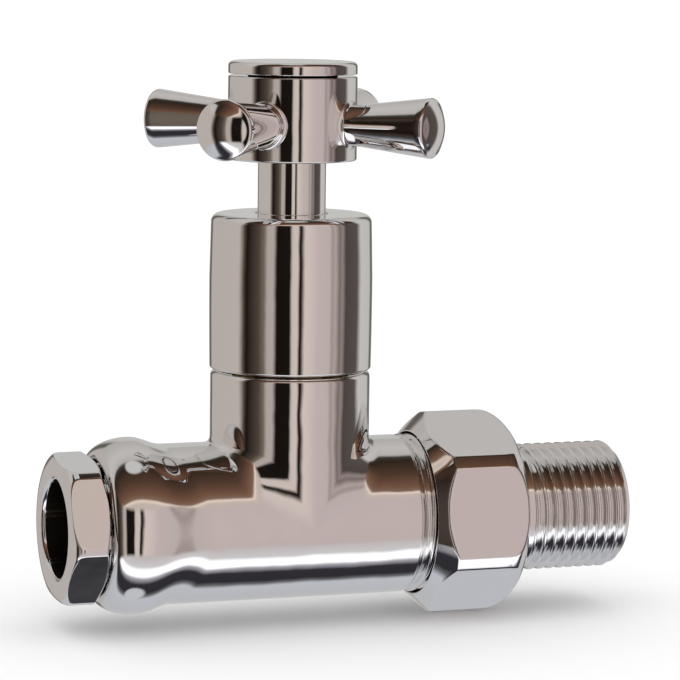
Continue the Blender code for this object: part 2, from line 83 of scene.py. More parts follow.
COLLAR_END, SPIGOT_END = across("valve_body", 0)
COMPRESSION_FACE, COMPRESSION_TIP = across("compression_nut", 0)
UNION_FACE, UNION_END = across("union_nut", 0)
FLANGE_FACE, TAIL_END = across("tailpiece", 0)
SHROUD_BOTTOM, SHROUD_TOP = across("shroud", 2)
NECK_BOTTOM, HUB_TOP = across("handle_hub", 2)
CAP_BOTTOM, CAP_TOP = across("index_cap", 2)
SHROUD_R = across("shroud", 1)[1]
HUB_R = across("handle_hub", 1)[1]
SPOKE_Z = sum(across("spoke_1", 2)) / 2
SPOKE_TIP_R = (across("spoke_1", 2)[1] - across("spoke_1", 2)[0]) / 2

# ---- details, in millimetres ----------------------------------------------
TUBE_R = 12.9
COLLAR_R = 14.2
COLLAR_PEAK = -26.8
COLLAR_LIP_R = 11.25
COLLAR_FALL = 5.4         # how far the collar takes to meet the tube, above and below
COLLAR_SPREAD = 4.6       # and how much further in front and behind
TUBE_END = 18.6           # where the union thread starts
FILLET = 1.1              # between the branch and the run, where they meet squarely
FILLET_GROWTH = 14.0      # and how much it widens towards the front and the back
BRANCH_TOP = SHROUD_BOTTOM - 0.42
SHROUD_DROP = 0.2         # closes the seam under the shroud to a fine line
CHAMBER_R = 8.5           # above the seat
CHAMBER_TOP = 14.0        # where the branch's wider bore for the headwork starts
SEAT_Z = 4.0
SEAT_R = 4.5
BRANCH_EASE = 1.0         # rounding of the branch's rim
PIPE_R = 7.65
PIPE_STOP = -12.0
INLET_R = 6.2
INLET_END = -10.2
OUTLET_R = 8.0
OUTLET_END = 13.2
HALF_INCH = (10.478, 1.162, 1.814)    # crest radius, depth and pitch
UNION_THREAD = (12.95, 0.92, 1.5)
THREAD_GAP = 0.3

COMPRESSION_FLATS = 22.0
COMPRESSION_CORNER_R = 12.35
COMPRESSION_TURN = -21.0
UNION_FLATS = 29.6
UNION_CORNER_R = 16.45
UNION_TURN = -7.3
TAIL_SHOULDER = 39.4
TAIL_SHOULDER_R = 10.55
TAIL_KEY_FLATS = 12.0
TAIL_BORE_R = 6.6

NECK_R = 5.48
HUB_BOTTOM = 58.2
HUB_RECESS_R = 7.5        # for the screw's head, under the cap
HUB_RECESS_FLOOR = 66.4
SPLINE_BORE_R = 4.6       # inside the neck
SPLINE_BORE_TOP = 62.8
SCREW_HOLE_R = 2.5
SCREW_KEY_FLATS = 3.0
SPOKE_ROOT_R = 3.15
SPOKE_RIM = 24.1          # the cone's widest point, from the spindle's axis
SPOKE_END = 26.0
SHROUD_BORE_R = 11.9
SHROUD_ROOF = 1.8
BLANK_R = 20.0            # round bar that a hexagon's flats are cut from

# ---- placing ---------------------------------------------------------------
ALONG_RUN = Matrix.Translation((SPINDLE_X, 0, 0)) @ Matrix.Rotation(
    math.radians(90), 4, "Y"
)
UP_SPINDLE = Matrix.Translation((SPINDLE_X, 0, 0))
ROUND = np.radians(np.arange(0, 360, 2.5))      # angles round a turned piece


# ---- small curve helpers ---------------------------------------------------
def soft_min(a, b, blend):
    """The lower of two values, rounded where they cross."""
    near = np.maximum(blend - np.abs(a - b), 0)
    return np.minimum(a, b) - near * near / (4 * blend)


def arc(centre, size, start, stop, steps):
    """Points (radius, station) on an ellipse, from one angle to another."""
    spans = np.radians(np.linspace(start, stop, steps + 1))
    return [
        (centre[0] + size[0] * math.cos(a), centre[1] + size[1] * math.sin(a))
        for a in spans
    ]


def run(start, stop, steps):
    """Points evenly along a straight line between two (radius, station) points."""
    return [
        tuple(np.array(start) + (np.array(stop) - np.array(start)) * t)
        for t in np.linspace(0, 1, steps + 1)
    ]


def hexagon(flats, corner_r, turn, edge_blend):
    """A radius for each angle: flats with turned-down corners, softly edged."""

    def radius(angle):
        local = (np.degrees(angle) - turn) % 60 - 30
        flat = flats / 2 / np.cos(np.radians(local))
        return soft_min(flat, corner_r, edge_blend)

    return radius


def hexagon_angles(flats, corner_r, turn):
    """Angles round a hexagon, close together where flats meet the corners."""
    edge = 30 - math.degrees(math.acos(min(1.0, flats / 2 / corner_r)))
    near = edge + np.linspace(-1.2, 1.2, 13)
    band = np.linspace(0, max(edge - 1.4, 0.1), 4)
    flat = np.array([1.7, 2.6, 4.0, 6.0, 8.5, 11.5, 15.0, 19.0]) + edge
    half = np.concatenate([band, near, flat])
    half = np.unique(np.round(half[(half >= 0) & (half < 29.5)], 4))
    whole = np.concatenate([-half[::-1], half[half > 0], [30.0]])
    return np.radians(
        np.sort((np.unique(whole)[None] + 60 * np.arange(6)[:, None] + turn).ravel())
    )


def thread_radius(angle, station, thread, phase=0.0):
    """The radius of a right-hand thread with rounded crests and roots."""
    crest, depth, pitch = thread
    wave = np.cos(2 * math.pi * (station / pitch - angle / (2 * math.pi) + phase))
    return crest - depth * (0.5 - 0.5 * np.clip(wave * 1.12, -1, 1) * 0.9
                            - 0.05 * wave)


# ---- meshes -----------------------------------------------------------------
def sheet_faces(rows, columns, first, wrap_columns, wrap_rows):
    """Quads over a grid of points, as lists of point numbers."""
    faces = []
    for j in range(rows if wrap_rows else rows - 1):
        below, above = first + j * columns, first + (j + 1) % rows * columns
        for i in range(columns if wrap_columns else columns - 1):
            k = (i + 1) % columns
            faces.append((below + i, below + k, above + k, above + i))
    return faces


def skin(name, sheets, place):
    """One closed mesh from grids of points that meet along their edges.

    Each sheet is (points, wraps round its columns, wraps round its rows), with
    points as rows x columns x 3 in millimetres.
    """
    points, faces = [], []
    for grid, wrap_columns, wrap_rows in sheets:
        rows, columns = grid.shape[:2]
        faces += sheet_faces(rows, columns, len(points), wrap_columns, wrap_rows)
        points += (grid.reshape(-1, 3) * MM).tolist()
    mesh = bpy.data.meshes.new(name)
    mesh.from_pydata(points, [], faces)
    shape = bmesh.new()
    shape.from_mesh(mesh)
    bmesh.ops.remove_doubles(shape, verts=shape.verts, dist=2e-7)
    bmesh.ops.dissolve_degenerate(shape, edges=shape.edges, dist=1e-7)
    bmesh.ops.recalc_face_normals(shape, faces=shape.faces)
    if shape.calc_volume(signed=True) < 0:
        bmesh.ops.reverse_faces(shape, faces=shape.faces)
    shape.to_mesh(mesh)
    shape.free()
    mesh.transform(place)
    mesh.shade_smooth()
    piece = bpy.data.objects.new(name, mesh)
    bpy.context.scene.collection.objects.link(piece)
    return piece


def turned_sheet(outline, angles, change=None, wrap_rows=False):
    """The grid that an outline of (radius, station) points sweeps about Z.

    change(radii, stations, angles) may give each point another radius and station.
    """
    outline = np.array(outline, float)
    radii = np.repeat(outline[:, :1], len(angles), 1)
    stations = np.repeat(outline[:, 1:], len(angles), 1)
    spread = np.repeat(np.array(angles)[None], len(outline), 0)
    if change:
        radii, stations = change(radii, stations, spread)
    grid = np.stack([radii * np.cos(spread), radii * np.sin(spread), stations], 2)
    return grid, True, wrap_rows


def finished(piece, body, nodes, materials, inner=None):
    """Gives a piece its body, its finish and the CAD nodes that it stands for."""
    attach(piece, body)
    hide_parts(*nodes)
    for material in materials:
        piece.data.materials.append(material)
    # Faces that the test puts inside a bore get the second material, the near-black painted
    # bore shade.
    if inner:
        for polygon in piece.data.polygons:
            if inner(polygon.center):
                polygon.material_index = 1
    even = piece.modifiers.new("Flats stay flat", "WEIGHTED_NORMAL")
    even.weight = 60
    even.keep_sharp = True
    return piece


# ---- materials ---------------------------------------------------------------
class Nodes:
    """A short way to add and link shader nodes."""

    def __init__(self, tree):
        self.tree = tree

    def add(self, kind, values=None, **settings):
        node = self.tree.nodes.new("ShaderNode" + kind)
        for key, value in settings.items():
            setattr(node, key, value)
        for key, value in (values or {}).items():
            if isinstance(value, bpy.types.NodeSocket):
                self.tree.links.new(value, node.inputs[key])
            else:
                node.inputs[key].default_value = value
        return node

    def maths(self, operation, *values, clamp=False):
        node = self.add(
            "Math", dict(enumerate(values)), operation=operation, use_clamp=clamp
        )
        return node.outputs[0]

    def ramp(self, factor, stops, interpolation="LINEAR"):
        node = self.add("ValToRGB", {"Fac": factor})
        node.color_ramp.interpolation = interpolation
        elements = node.color_ramp.elements
        while len(elements) > 1:
            elements.remove(elements[-1])
        for i, (place, colour) in enumerate(stops):
            element = elements[0] if i == 0 else elements.new(place)
            element.position = place
            element.color = (*colour, 1) if len(colour) == 3 else colour
        return node.outputs["Color"]


def blank_material(name):
    material = bpy.data.materials.new(name)
    material.use_nodes = True
    nodes = Nodes(material.node_tree)
    return material, nodes, material.node_tree.nodes["Principled BSDF"]


def chrome_material(name, colour, roughness, ripple, ripple_scale):
    """Bright plating: polishing ripple, hairlines, and dulled patches.

    The ripple is the depth in millimetres that the polished face waves by, and a
    higher ripple_scale makes the waves shorter.
    """
    material, nodes, shader = blank_material(name)
    here = nodes.add("TexCoord").outputs["Object"]
    ripple_noise = nodes.add(
        "TexNoise",
        {"Vector": here, "Scale": ripple_scale, "Detail": 1.5, "Roughness": 0.4},
    )
    fine_noise = nodes.add(
        "TexNoise", {"Vector": here, "Scale": 2600.0, "Detail": 3.0, "Roughness": 0.6}
    )
    stretched = nodes.add("Mapping", {"Vector": here, "Scale": (900, 900, 12000)})
    hairs = nodes.add(
        "TexNoise", {"Vector": stretched.outputs[0], "Scale": 1.0, "Detail": 4.0}
    )
    patches = nodes.add(
        "TexNoise", {"Vector": here, "Scale": 70.0, "Detail": 5.0, "Roughness": 0.62}
    )
    dull = nodes.maths("SUBTRACT", patches.outputs["Fac"], 0.52)
    dull = nodes.maths("MULTIPLY", dull, 0.16)
    dull = nodes.maths("MAXIMUM", dull, 0.0)
    streak = nodes.maths("SUBTRACT", hairs.outputs["Fac"], 0.55)
    streak = nodes.maths("MULTIPLY", nodes.maths("MAXIMUM", streak, 0.0), 0.22)
    rough = nodes.maths("ADD", nodes.maths("ADD", dull, streak), roughness)
    nodes.tree.links.new(rough, shader.inputs["Roughness"])
    tint = nodes.add(
        "Mix",
        {
            "Factor": nodes.maths("MULTIPLY", patches.outputs["Fac"], 0.5),
            "A": (*colour, 1),
            "B": (*[c * 0.94 for c in colour], 1),
        },
        data_type="RGBA",
    )
    nodes.tree.links.new(tint.outputs["Result"], shader.inputs["Base Color"])
    height = nodes.maths(
        "ADD",
        nodes.maths("MULTIPLY", ripple_noise.outputs["Fac"], ripple),
        nodes.maths("MULTIPLY", fine_noise.outputs["Fac"], 0.0004),
    )
    bump = nodes.add("Bump", {"Height": height, "Strength": 1.0, "Distance": MM})
    nodes.tree.links.new(bump.outputs["Normal"], shader.inputs["Normal"])
    shader.inputs["Metallic"].default_value = 1.0
    return material


def worked_material(name, colour, metallic, roughness, grain, depth, tarnish):
    """A machined, moulded or pressed surface: mottled, with a fine grain."""
    material, nodes, shader = blank_material(name)
    here = nodes.add("TexCoord").outputs["Object"]
    mottle = nodes.add(
        "TexNoise", {"Vector": here, "Scale": 180.0, "Detail": 6.0, "Roughness": 0.6}
    )
    grains = nodes.add(
        "TexNoise", {"Vector": here, "Scale": grain, "Detail": 4.0, "Roughness": 0.65}
    )
    shade = nodes.ramp(
        mottle.outputs["Fac"],
        [(0.3, tuple(c * tarnish for c in colour)), (0.7, colour)],
    )
    nodes.tree.links.new(shade, shader.inputs["Base Color"])
    rough = nodes.maths(
        "ADD", nodes.maths("MULTIPLY", grains.outputs["Fac"], 0.25), roughness - 0.12
    )
    nodes.tree.links.new(rough, shader.inputs["Roughness"])
    bump = nodes.add(
        "Bump", {"Height": grains.outputs["Fac"], "Strength": 1.0, "Distance": depth}
    )
    nodes.tree.links.new(bump.outputs["Normal"], shader.inputs["Normal"])
    shader.inputs["Metallic"].default_value = metallic
    return material


PLATING = (0.87, 0.865, 0.86)
CHROME = chrome_material("chrome_plate", PLATING, 0.022, 0.03, 210.0)
CAST_CHROME = chrome_material("chrome_on_casting", PLATING, 0.025, 0.16, 125.0)
# The bore material is near-black: painted shade for the hollow bores, far darker than the
# bare brass they are cut in.
BORE_PAINTED_SHADE = worked_material("bore_painted_shade", (0.05, 0.04, 0.03), 1.0, 0.5, 2500, 4e-6, 0.5)
BRASS = worked_material("bare_brass", (0.72, 0.53, 0.25), 1.0, 0.30, 2500, 4e-6, 0.8)
STEEL = worked_material("zinc_steel", (0.55, 0.55, 0.56), 1.0, 0.32, 3000, 4e-6, 0.8)
RUBBER = worked_material("black_rubber", (0.03, 0.03, 0.03), 0.0, 0.7, 3000, 8e-6, 0.7)
FIBRE = worked_material("red_fibre", (0.35, 0.10, 0.06), 0.0, 0.8, 4000, 3e-5, 0.7)
PTFE = worked_material("white_ptfe", (0.85, 0.85, 0.82), 0.0, 0.5, 1500, 4e-6, 0.93)
NYLON = worked_material("nylon", (0.75, 0.74, 0.70), 0.0, 0.45, 1500, 3e-6, 0.94)


# ---- body --------------------------------------------------------------------
def collar_radius(s, side=0.0):
    """The swelling: a quarter ellipse up to its peak, then an S down.

    side is 0 above and below, and 1 in front and behind, where the S is longer.
    """
    reach = np.clip((s - COLLAR_PEAK) / (COLLAR_END - COLLAR_PEAK), 0, 1)
    rise = COLLAR_LIP_R + (COLLAR_R - COLLAR_LIP_R) * np.sqrt(1 - reach * reach)
    fall = np.clip((s - COLLAR_PEAK) / (COLLAR_FALL + COLLAR_SPREAD * side), 0, 1)
    swell = TUBE_R + (COLLAR_R - TUBE_R) * 0.5 * (1 + np.cos(np.pi * fall))
    return np.where(s < COLLAR_PEAK, rise, swell)


def branch_sheets(side):
    """The run's top, the fillet and the branch's wall on one side of the spindle."""
    spread = np.radians(np.arange(-90, 90.1, 2.5))
    fillet_r = FILLET + FILLET_GROWTH * np.sin(spread) ** 4
    reach = TUBE_R + fillet_r
    join = TUBE_R + FILLET + 0.6
    top, wall, ease, cap = [], [], [], []
    for t in np.linspace(0, 1, 9):
        x = -join + t * (join - reach * np.cos(spread))
        top.append(np.stack([x, TUBE_R * np.sin(spread), TUBE_R * np.cos(spread)], 1))
    centre = np.stack(
        [-reach * np.cos(spread), reach * np.sin(spread), reach * np.cos(spread)], 1
    )
    down = np.stack([0 * spread, -np.sin(spread), -np.cos(spread)], 1)
    inward = np.stack([np.cos(spread), -np.sin(spread), 0 * spread], 1)
    swing = np.arccos(np.clip((down * inward).sum(1), -1, 1))[:, None]
    full = np.maximum(np.sin(swing), 1e-9)
    fillet = []
    for t in np.linspace(0, 1, 11):
        turned = np.where(
            swing > 1e-6,
            (np.sin((1 - t) * swing) * down + np.sin(t * swing) * inward) / full,
            down,
        )
        fillet.append(centre + fillet_r[:, None] * turned)
    wall_top = BRANCH_TOP - BRANCH_EASE
    for t in np.linspace(0, 1, 9):
        z = reach * np.cos(spread) * (1 - t) + wall_top * t
        wall.append(np.stack([-TUBE_R * np.cos(spread), TUBE_R * np.sin(spread), z], 1))
    for r, z in arc((TUBE_R - BRANCH_EASE, wall_top), (BRANCH_EASE,) * 2, 0, 90, 8):
        ease.append(np.stack([-r * np.cos(spread), r * np.sin(spread), 0 * spread + z], 1))
    inner = HALF_INCH[0] + THREAD_GAP
    mouth = [(TUBE_R - BRANCH_EASE, BRANCH_TOP), (inner + 0.25, BRANCH_TOP)]
    mouth += [(inner, BRANCH_TOP - 0.25), (inner, CHAMBER_TOP), (CHAMBER_R, CHAMBER_TOP)]
    mouth += [(CHAMBER_R, SEAT_Z - 1), (SEAT_R + 2, SEAT_Z - 1), (SEAT_R + 1.2, SEAT_Z)]
    mouth += [(SEAT_R, SEAT_Z), (SEAT_R, SEAT_Z - 5), (0, SEAT_Z - 5)]
    for r, z in mouth:
        cap.append(np.stack([-r * np.cos(spread), r * np.sin(spread), 0 * spread + z], 1))
    flip = np.array([side, 1, 1])
    return [
        (np.array(rows) * flip, False, False) for rows in (top, fillet, wall, ease, cap)
    ]


def run_sheet(outline, start, stop, change=None):
    """A sheet turned about the run's axis, over the angles between two limits."""
    spread = np.radians(np.arange(start, stop + 0.1, 2.5))
    outline = np.array(outline, float)
    radii = np.repeat(outline[:, :1], len(spread), 1)
    stations = np.repeat(outline[:, 1:], len(spread), 1)
    angles = np.repeat(spread[None], len(outline), 0)
    if change:
        radii = change(radii, stations, angles)
    grid = np.stack([stations, radii * np.sin(angles), radii * np.cos(angles)], 2)
    return grid, False, False


def make_body():
    join = TUBE_R + FILLET + 0.6
    under = run((TUBE_R, -join), (TUBE_R, 0), 8) + run((TUBE_R, 0), (TUBE_R, join), 8)[1:]

    swell_start = COLLAR_PEAK + COLLAR_FALL + COLLAR_SPREAD
    left = run((TUBE_R, -join), (TUBE_R, swell_start), 2)
    left += [(TUBE_R, s) for s in np.linspace(swell_start - 0.2, COLLAR_PEAK, 36)]
    swollen = slice(3, len(left))
    rim = [COLLAR_PEAK + (COLLAR_END - COLLAR_PEAK) * math.sin(a)
           for a in np.linspace(0.06, math.pi / 2 - 0.16, 20)]
    left += [(float(collar_radius(s)), s) for s in rim]
    lip = float(collar_radius(rim[-1]))
    socket_r = HALF_INCH[0] + THREAD_GAP
    left += [(lip - 0.25, COLLAR_END + 0.03), (lip - 0.45, COLLAR_END)]
    left += [(socket_r + 0.3, COLLAR_END), (socket_r, COLLAR_END + 0.3)]
    left += [(socket_r, -21.4), (10.0, -20.6), (PIPE_R + 0.3, -18.3), (PIPE_R, -18.0)]
    left += [(PIPE_R, PIPE_STOP), (INLET_R, PIPE_STOP), (INLET_R, INLET_END), (0, INLET_END)]

    shoulder = run((TUBE_R, join), (TUBE_R, TUBE_END - 0.35), 4)
    shoulder += arc((TUBE_R - 0.35, TUBE_END - 0.35), (0.35, 0.35), 15, 90, 6)
    root = UNION_THREAD[0] - UNION_THREAD[1]
    shoulder += [(root, TUBE_END)]
    crest_end = SPIGOT_END - 0.8
    threads = run((root, TUBE_END), (root, crest_end), 110)

    def swell(radii, stations, angles):
        radii[swollen] = collar_radius(stations[swollen], np.sin(angles[swollen]) ** 2)
        return radii

    def spiral(radii, stations, angles):
        full = thread_radius(angles, stations, UNION_THREAD)
        lead = np.clip((stations - TUBE_END) / 0.5, 0, 1)
        fade = np.clip((crest_end + 0.4 - stations) / 0.9, 0, 1)
        return root + (full - root) * lead * fade

    tip = [(root, crest_end), (root, SPIGOT_END - 0.4), (root - 0.4, SPIGOT_END)]
    tip += [(OUTLET_R + 0.3, SPIGOT_END), (OUTLET_R, SPIGOT_END - 0.3)]
    tip += [(OUTLET_R, OUTLET_END), (0, OUTLET_END)]
    sheets = [run_sheet(under, 90, 270)]
    # the thread fades into its root at both ends, where its neighbours meet it
    for limits in ((-90, 90), (90, 270)):
        sheets.append(run_sheet(left, *limits, swell))
        sheets.append(run_sheet(shoulder, *limits))
        sheets.append(run_sheet(threads, *limits, spiral))
        sheets.append(run_sheet(tip, *limits))
    sheets += branch_sheets(1) + branch_sheets(-1)
    return skin("body_casting", sheets, UP_SPINDLE)


# ---- compression end -----------------------------------------------------------
def make_compression_nut():
    face, head_end = COMPRESSION_FACE, COLLAR_END - THREAD_GAP
    flat_r = hexagon(COMPRESSION_FLATS, COMPRESSION_CORNER_R, COMPRESSION_TURN, 0.10)
    angles = hexagon_angles(COMPRESSION_FLATS, COMPRESSION_CORNER_R, COMPRESSION_TURN)
    outer = [(PIPE_R + 0.8, face)] + run((PIPE_R + 0.9, face), (10.0, face), 3)
    outer += arc((10.2, face + 1.6), (COMPRESSION_CORNER_R - 10.2, 1.6), -90, 0, 28)
    outer += run((BLANK_R, face + 1.7), (BLANK_R, head_end - 1.1), 12)
    outer += run((COMPRESSION_CORNER_R + 0.3, head_end - 1.05), (10.95, head_end), 16)
    root = HALF_INCH[0] - HALF_INCH[1]
    shank = [(root, head_end)] + run((root, head_end), (root, COMPRESSION_TIP - 1), 72)
    tip = [(root - 0.2, COMPRESSION_TIP - 0.5), (9.0, COMPRESSION_TIP - 0.3)]
    tip += [(9.0, -23.9), (PIPE_R, -25.6)]
    bore = [(PIPE_R, -30), (PIPE_R, face + 0.8)] + [(PIPE_R + 0.35, face + 0.25)]
    head = slice(0, len(outer))
    threads = slice(len(outer) + 1, len(outer) + len(shank))

    def change(radii, stations, spread):
        radii = radii.copy()
        radii[head] = soft_min(radii[head], flat_r(spread[head]), 0.16)
        full = thread_radius(spread[threads], stations[threads], HALF_INCH)
        lead = np.clip((stations[threads] - head_end) / 0.6, 0, 1)
        fade = np.clip((COMPRESSION_TIP - 0.9 - stations[threads]) / 0.9, 0, 1)
        radii[threads] = root + (full - root) * lead * fade
        return radii, stations

    outline = outer + shank + tip + bore
    return skin(
        "compression_hexagon",
        [turned_sheet(outline, angles, change, wrap_rows=True)],
        ALONG_RUN,
    )


def make_olive():
    bore = PIPE_R + 0.1
    outline = [(bore, -24.2), (8.5, -24.2), (8.7, -24.0), (9.4, -22.6)]
    outline += arc((9.0, -22.0), (0.5, 0.7), -40, 40, 6)
    outline += [(8.5, -19.8), (8.3, -19.6), (bore, -19.6)]
    return skin("brass_olive", [turned_sheet(outline, ROUND, None, True)], ALONG_RUN)


# ---- radiator end ----------------------------------------------------------------
def make_union_nut():
    bore_r = UNION_THREAD[0] + THREAD_GAP
    collar_r = TAIL_SHOULDER_R + THREAD_GAP
    flat_r = hexagon(UNION_FLATS, UNION_CORNER_R, UNION_TURN, 0.16)
    angles = hexagon_angles(UNION_FLATS, UNION_CORNER_R, UNION_TURN)
    outer = run((bore_r + 0.2, UNION_FACE), (UNION_CORNER_R + 0.35, 24.2), 48)
    outer += run((BLANK_R, 24.4), (BLANK_R, 33.0), 10)
    dome = arc((11.3, 33.2), (UNION_CORNER_R - 11.3 + 0.05, UNION_END - 33.2), 0, 74, 44)
    outer += dome
    end = dome[-1]
    inner = [(end[0] - 0.5, UNION_END), (collar_r + 0.2, UNION_END)]
    inner += [(collar_r, UNION_END - 0.2), (collar_r, 34.1), (bore_r, 34.1)]
    inner += [(bore_r, UNION_FACE + 0.1), (bore_r + 0.1, UNION_FACE)]

    def change(radii, stations, spread):
        radii = radii.copy()
        head = slice(0, len(outer))
        radii[head] = soft_min(radii[head], flat_r(spread[head]), 0.2)
        return radii, stations

    return skin(
        "union_hexagon",
        [turned_sheet(outer + inner, angles, change, wrap_rows=True)],
        ALONG_RUN,
    )


def make_tail():
    flange_r = UNION_THREAD[0] - 0.4
    root = HALF_INCH[0] - HALF_INCH[1]
    front = [(TAIL_BORE_R + 0.3, FLANGE_FACE), (flange_r - 0.3, FLANGE_FACE)]
    front += arc((flange_r - 0.3, FLANGE_FACE + 0.3), (0.3, 0.3), -70, 0, 3)
    front += arc((flange_r - 0.3, 33.5), (0.3, 0.3), 0, 90, 3)
    front += [(TAIL_SHOULDER_R, 33.8)]
    front += run((TAIL_SHOULDER_R, 34.2), (TAIL_SHOULDER_R, TAIL_SHOULDER - 0.3), 4)
    front += arc((TAIL_SHOULDER_R - 0.3, TAIL_SHOULDER - 0.3), (0.3, 0.3), 15, 90, 5)
    threads = run((root, TAIL_SHOULDER), (root, TAIL_END), 176)
    hexagon_in = hexagon(TAIL_KEY_FLATS, BLANK_R, 0, 0.1)
    back = [(7.6, TAIL_END), (7.0, TAIL_END - 0.3), (7.0, 44.4)]
    back += [(TAIL_BORE_R, 43.9), (TAIL_BORE_R, FLANGE_FACE + 0.3)]
    first, last = len(front), len(front) + len(threads)

    def change(radii, stations, spread):
        radii = radii.copy()
        part = slice(first, last)
        full = thread_radius(spread[part], stations[part], HALF_INCH)
        lead = np.clip((stations[part] - TAIL_SHOULDER) / 0.7, 0, 1)
        cone = 9.3 + (TAIL_END - stations[part])
        radii[part] = soft_min(root + (full - root) * lead, cone, 0.15)
        key = slice(last, last + 3)
        flat = hexagon_in(spread[key])
        radii[key] = np.minimum(radii[key] * 0 + flat + np.array([[0.6], [0], [0]]), 8.2)
        return radii, stations

    return skin(
        "threaded_tail",
        [turned_sheet(front + threads + back, ROUND, change, wrap_rows=True)],
        ALONG_RUN,
    )


# ---- headwork ---------------------------------------------------------------------
def make_shroud():
    ease = 1.4
    bottom = SHROUD_BOTTOM - SHROUD_DROP
    low = bottom + 0.45
    high = SHROUD_TOP - ease
    gap_r = NECK_R + 0.35

    def barrel(z):
        """A very slight swelling, fullest above the middle."""
        t = (z - low) / (high - low)
        return SHROUD_R - 0.10 * (1 - min(t / 0.62, 1)) ** 2 - 0.20 * max(0, t - 0.62) / 0.38

    outline = run((gap_r + 0.15, SHROUD_TOP), (barrel(high) - ease - 0.1, SHROUD_TOP), 4)
    outline += arc((barrel(high) - ease, high), (ease, ease), 90, 0, 14)
    outline += [(barrel(z), z) for z in np.linspace(high, low, 30)[1:]]
    outline += arc((barrel(low) - 0.45, low), (0.45, 0.45), 0, -90, 6)[1:]
    ceiling = SHROUD_TOP - SHROUD_ROOF
    outline += [(SHROUD_BORE_R, bottom), (SHROUD_BORE_R, ceiling)]
    outline += [(gap_r, ceiling), (gap_r, SHROUD_TOP - 0.15)]
    return skin("shroud_skin", [turned_sheet(outline, ROUND, None, True)], UP_SPINDLE)


# ---- handle -------------------------------------------------------------------------
def make_hub():
    outline = [(HUB_RECESS_R, HUB_TOP)]
    outline += run((HUB_RECESS_R + 0.3, HUB_TOP), (HUB_R - 0.4, HUB_TOP), 3)
    outline += arc((HUB_R - 0.3, HUB_TOP - 0.3), (0.3, 0.3), 90, 0, 5)
    outline += run((HUB_R, HUB_TOP - 0.6), (HUB_R, HUB_BOTTOM + 0.8), 8)
    outline += arc((HUB_R - 0.35, HUB_BOTTOM + 0.35), (0.35, 0.35), 0, -90, 6)
    outline += run((HUB_R - 0.6, HUB_BOTTOM), (NECK_R + 0.6, HUB_BOTTOM), 4)
    outline += arc((NECK_R + 0.35, HUB_BOTTOM - 0.35), (0.35, 0.35), 90, 180, 5)
    outline += run((NECK_R, HUB_BOTTOM - 0.6), (NECK_R, NECK_BOTTOM + 0.4), 6)
    outline += [(NECK_R - 0.3, NECK_BOTTOM), (SPLINE_BORE_R, NECK_BOTTOM)]
    outline += [(SPLINE_BORE_R, SPLINE_BORE_TOP), (SCREW_HOLE_R, SPLINE_BORE_TOP)]
    outline += [(SCREW_HOLE_R, HUB_RECESS_FLOOR), (HUB_RECESS_R - 0.2, HUB_RECESS_FLOOR)]
    outline += [(HUB_RECESS_R, HUB_RECESS_FLOOR + 0.2)]
    return skin("hub_and_neck", [turned_sheet(outline, ROUND, None, True)], UP_SPINDLE)


def make_spoke(i):
    """Spoke i points out along its local Z, flared where it meets the hub."""
    turn = Matrix.Rotation(math.radians(45 + 90 * i), 4, "Z")
    lift = Matrix.Translation((0, 0, SPOKE_Z * MM))
    place = UP_SPINDLE @ lift @ turn @ Matrix.Rotation(math.radians(90), 4, "Y")
    flare = 0.7
    slope = (SPOKE_TIP_R - SPOKE_ROOT_R) / (SPOKE_RIM - HUB_R)
    foot = [(0, 8.6), (2.2, 8.6)]
    for a in np.linspace(0, math.pi / 2, 9):
        rise = flare * (1 - math.cos(a))
        foot.append((SPOKE_ROOT_R + flare * (1 - math.sin(a)) + slope * rise, HUB_R + rise))
    ease = 0.55
    cone_end = (SPOKE_TIP_R, SPOKE_RIM)
    outline = foot + run(foot[-1], cone_end, 14)[1:]
    outline += arc((SPOKE_TIP_R - ease, SPOKE_RIM), (ease, ease), 8, 78, 8)
    edge = outline[-1]
    dome = SPOKE_END - edge[1]
    for t in np.linspace(0, 1, 10)[1:]:
        r = edge[0] * (1 - t)
        outline.append((r, edge[1] + dome * (1 - (r / edge[0]) ** 2)))

    def change(radii, stations, spread):
        stations = stations.copy()
        near = np.clip((SPOKE_RIM - stations) / (SPOKE_RIM - HUB_R), 0, 1) ** 3
        side = radii * np.sin(spread)
        drop = HUB_R - np.sqrt(HUB_R * HUB_R - np.minimum(side * side, 40))
        rows = np.arange(len(stations))[:, None] >= 2
        return radii, stations - drop * near * rows

    return skin(f"crossbar_{i + 1}", [turned_sheet(outline, ROUND, change)], place)


def make_cap():
    base = CAP_BOTTOM
    lid = HUB_TOP + 0.3
    outline = [(0, CAP_TOP)] + run((0.5, CAP_TOP), (HUB_R - 0.95, CAP_TOP), 6)
    outline += arc((HUB_R - 0.8, CAP_TOP - 0.8), (0.8, 0.8), 88, 0, 10)
    outline += run((HUB_R, CAP_TOP - 0.9), (HUB_R, lid + 0.2), 3)
    outline += arc((HUB_R - 0.15, lid + 0.15), (0.15, 0.15), 0, -90, 3)
    outline += [(7.2, lid), (7.2, base + 0.2), (7.0, base), (6.2, base), (6.2, lid), (0, lid)]
    return skin("cap_disc", [turned_sheet(outline, ROUND)], UP_SPINDLE)


def make_screw():
    bottom, top = across("handle_screw", 2)
    key = hexagon(SCREW_KEY_FLATS, BLANK_R, 0, 0.05)
    outline = [(0, bottom), (1.2, bottom), (1.5, bottom + 0.3), (1.5, 66.7), (3.7, 66.7)]
    outline += arc((2.9, 68.2), (0.8, top - 68.2), 0, 80, 6)
    start = len(outline)
    outline += [(2.0, top), (1.5, top - 0.15), (1.5, 67.2), (0, 67.0)]

    def change(radii, stations, spread):
        radii = radii.copy()
        rows = slice(start + 1, start + 3)
        radii[rows] = key(spread[rows])
        return radii, stations

    return skin("socket_screw", [turned_sheet(outline, ROUND, change)], UP_SPINDLE)
